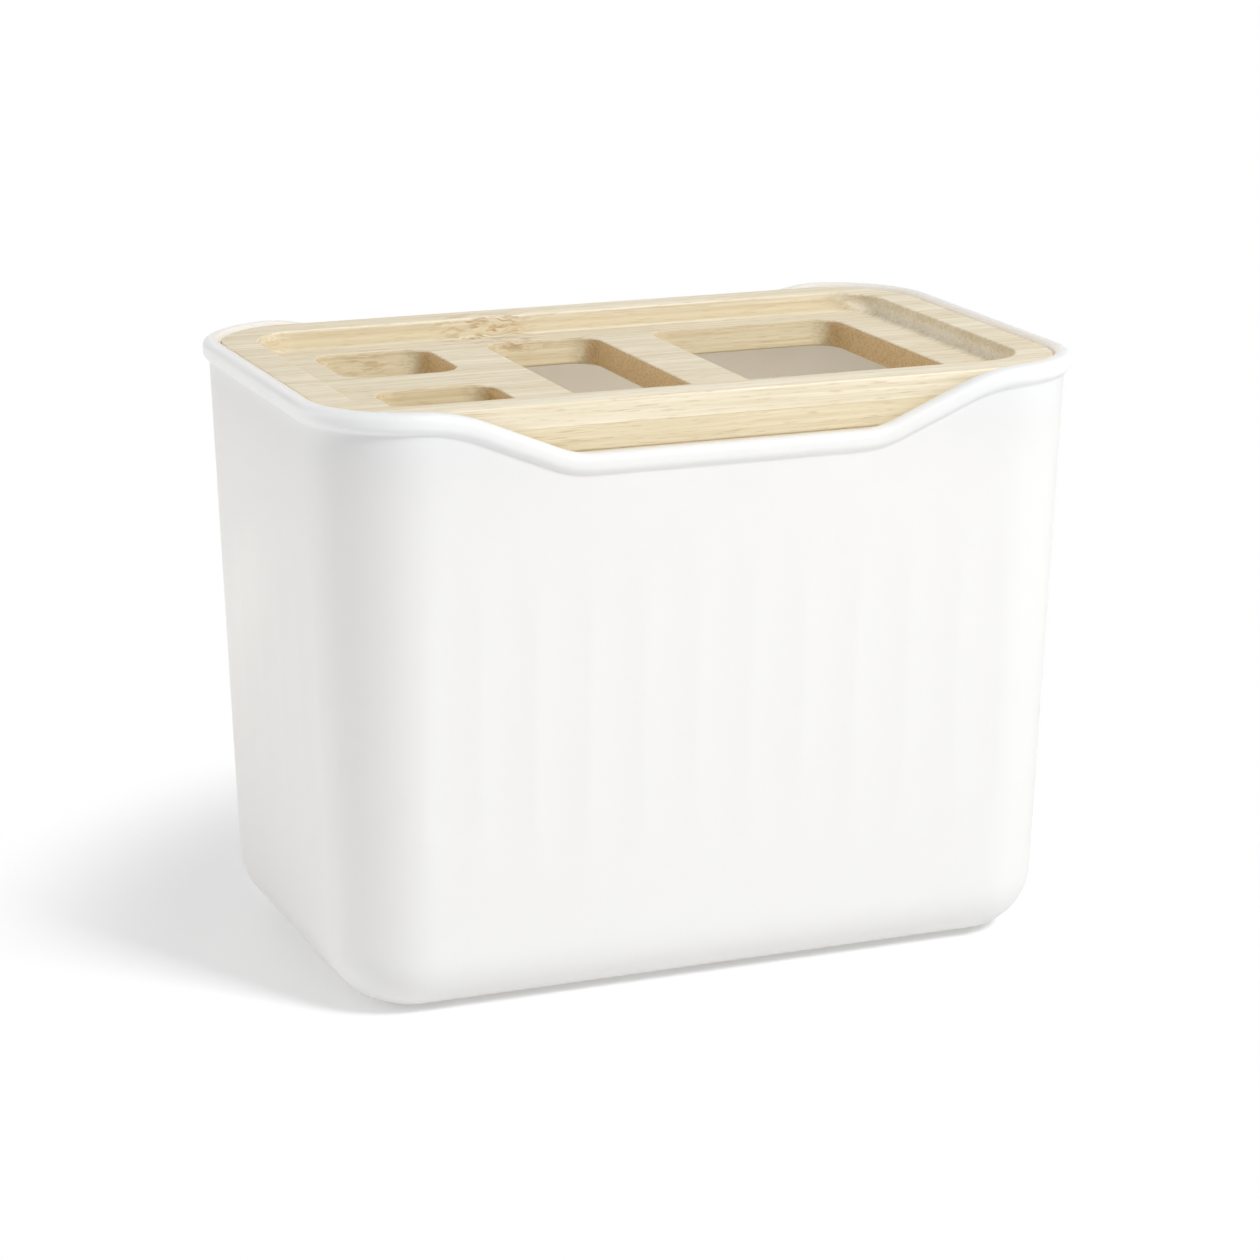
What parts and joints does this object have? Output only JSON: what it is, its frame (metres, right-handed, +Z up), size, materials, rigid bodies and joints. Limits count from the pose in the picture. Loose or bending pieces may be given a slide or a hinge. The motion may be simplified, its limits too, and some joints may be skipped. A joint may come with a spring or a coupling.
{
  "type": "toothbrush holder",
  "caption": "Tapered rounded white cup with a rolled rim and finger scoops, holding a dished lift-out bamboo lid with openings for toothbrushes and tubes.",
  "frame": {"origin": "under the middle of the base, on the surface that the cup stands on", "axes": "+Z up, +X along the long side towards the wide tray opening, -Y the front long side"},
  "size_m": [0.1598, 0.1008, 0.12],
  "materials": {
    "cup_plastic": "satin moulded white plastic",
    "bamboo": "sanded pale bamboo, thinly sealed"
  },
  "bodies": {
    "cup": {"cup": "cup_plastic"},
    "lid": {"lid_lower_board": "bamboo", "lid_upper_board": "bamboo"}
  },
  "joints": [
    {"name": "lid_lift", "type": "slide", "parent": "cup", "child": "lid", "axis": [0, 0, 1], "range_m": [0, 0.05]}
  ]
}
